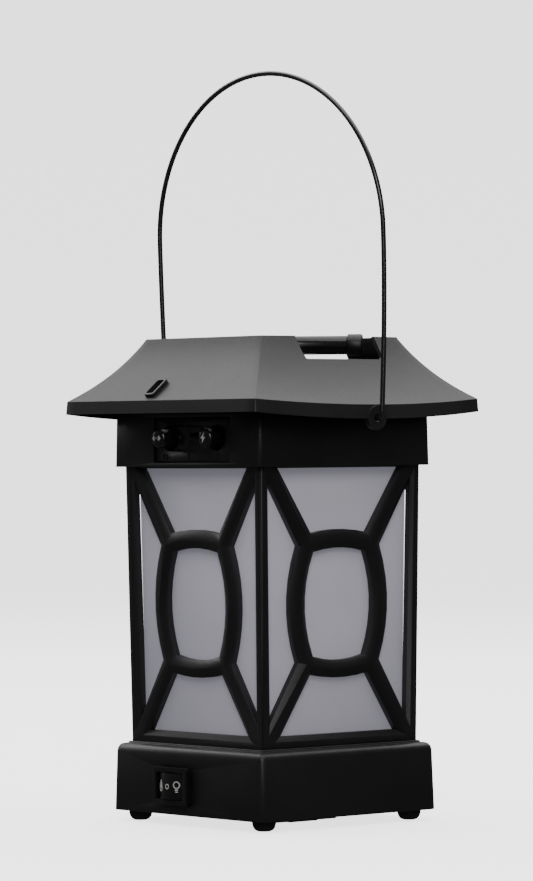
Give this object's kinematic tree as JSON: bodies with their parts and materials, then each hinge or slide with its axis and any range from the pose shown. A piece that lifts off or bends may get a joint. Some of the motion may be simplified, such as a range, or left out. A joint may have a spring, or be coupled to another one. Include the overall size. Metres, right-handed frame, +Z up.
{
  "type": "patio insect repeller lantern",
  "caption": "Square patio insect repeller lantern with a swinging wire bail, a concave open-topped roof over a heated mat, lattice-framed diffuser and a battery base with a rocker.",
  "frame": {"origin": "on the supporting surface, under the middle of the lantern", "axes": "+Z up; -Y is the face with the gas knob, start button and light switch; X runs along the bail's hinge line, with +X on the right when the controls are faced"},
  "size_m": [0.1932, 0.1632, 0.4152],
  "materials": {
    "shell_plastic": "fine satin texture",
    "roof_plastic": "fine matt texture",
    "gloss_plastic": "polished",
    "foot_rubber": "matt",
    "opal_diffuser": "frosted",
    "white_plastic": "satin",
    "black_wire": "gloss enamel",
    "steel": "brushed",
    "brass": "satin",
    "cell_jacket": "printed-free sleeve",
    "mat_pad": "matt fibre",
    "circuit_board": "satin",
    "led_lens": "clear-cast"
  },
  "bodies": {
    "lantern": {"roof_shell": "roof_plastic", "collar": "shell_plastic", "control_panel": "shell_plastic", "piezo_igniter": "white_plastic", "gas_valve": "brass", "heater_tray": "shell_plastic", "heater_plate": "steel", "mat_grill": "steel", "burner": "brass", "cartridge_socket": "brass", "fuel_line": "brass", "burner_line": "brass", "spark_lead": "white_plastic", "side_panel_front": "shell_plastic", "side_panel_right": "shell_plastic", "side_panel_back": "shell_plastic", "side_panel_left": "shell_plastic", "diffuser": "opal_diffuser", "diffuser_cap": "white_plastic", "led_board": "circuit_board", "led_1": "led_lens", "led_2": "led_lens", "led_3": "led_lens", "base_housing": "shell_plastic", "base_plate": "shell_plastic", "battery_tray": "shell_plastic", "contact_plate_left": "steel", "contact_plate_right": "steel", "switch_bezel": "gloss_plastic", "foot_1": "foot_rubber", "base_screw_1": "steel", "roof_screw_1": "steel", "foot_2": "foot_rubber", "base_screw_2": "steel", "roof_screw_2": "steel", "foot_3": "foot_rubber", "base_screw_3": "steel", "roof_screw_3": "steel", "foot_4": "foot_rubber", "base_screw_4": "steel", "roof_screw_4": "steel", "battery_1": "cell_jacket", "contact_spring_1": "steel", "battery_2": "cell_jacket", "contact_spring_2": "steel", "battery_3": "cell_jacket", "contact_spring_3": "steel"},
    "bail": {"bail_handle": "black_wire"},
    "gas_knob": {"valve_knob": "gloss_plastic"},
    "start_button": {"igniter_button": "gloss_plastic"},
    "rocker": {"light_rocker": "gloss_plastic"},
    "fuel": {"fuel_cartridge": "gloss_plastic", "cartridge_cap": "shell_plastic"},
    "mat": {"repellent_mat": "mat_pad"},
    "door": {"battery_door": "shell_plastic"}
  },
  "joints": [
    {"name": "bail_swing", "type": "hinge", "parent": "lantern", "child": "bail", "pos_m": [0, 0, 0.2222], "axis": [1, 0, 0], "range_deg": [-155, 155]},
    {"name": "gas_slide", "type": "slide", "parent": "lantern", "child": "gas_knob", "axis": [1, 0, 0], "range_m": [0, 0.009]},
    {"name": "start_press", "type": "slide", "parent": "lantern", "child": "start_button", "axis": [0, 1, 0], "range_m": [0, 0.004], "stiffness_N_per_m": 1500, "springref_m": -0.002},
    {"name": "light_rock", "type": "hinge", "parent": "lantern", "child": "rocker", "pos_m": [-0.0092, -0.0634, 0.0216], "axis": [0, 0, 1], "range_deg": [-10, 10]},
    {"name": "fuel_draw", "type": "slide", "parent": "lantern", "child": "fuel", "axis": [0.7071, 0.7071, 0], "range_m": [0, 0.007]},
    {"name": "mat_slide", "type": "slide", "parent": "lantern", "child": "mat", "axis": [1, 0, 0], "range_m": [0, 0.024]},
    {"name": "door_slide", "type": "slide", "parent": "lantern", "child": "door", "axis": [1, 0, 0], "range_m": [0, 0.012]}
  ]
}
